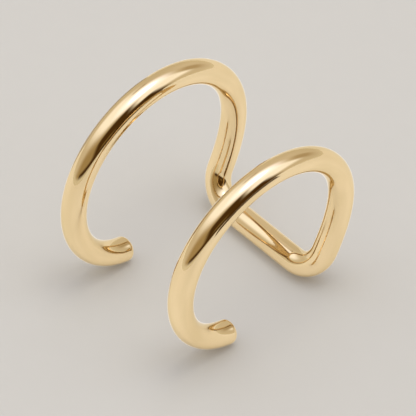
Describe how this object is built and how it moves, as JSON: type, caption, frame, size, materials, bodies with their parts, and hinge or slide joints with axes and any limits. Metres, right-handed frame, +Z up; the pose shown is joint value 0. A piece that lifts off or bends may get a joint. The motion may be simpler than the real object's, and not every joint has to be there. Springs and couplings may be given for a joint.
{
  "type": "ear cuff",
  "caption": "Double-hoop ear cuff of polished round gold wire: two open hoops joined at one end by a straight bar, with free, softened tips.",
  "frame": {"origin": "on the resting surface, under the middle of the cuff's box", "axes": "+X along the bar from hoop to hoop, +Y from the tips to the bar, +Z up from the surface that the bar and the tips rest on"},
  "size_m": [0.0094, 0.0118, 0.0108],
  "materials": {
    "polished_gold": "polished yellow gold"
  },
  "bodies": {
    "root": {"cuff_wire": "polished_gold"}
  },
  "joints": []
}
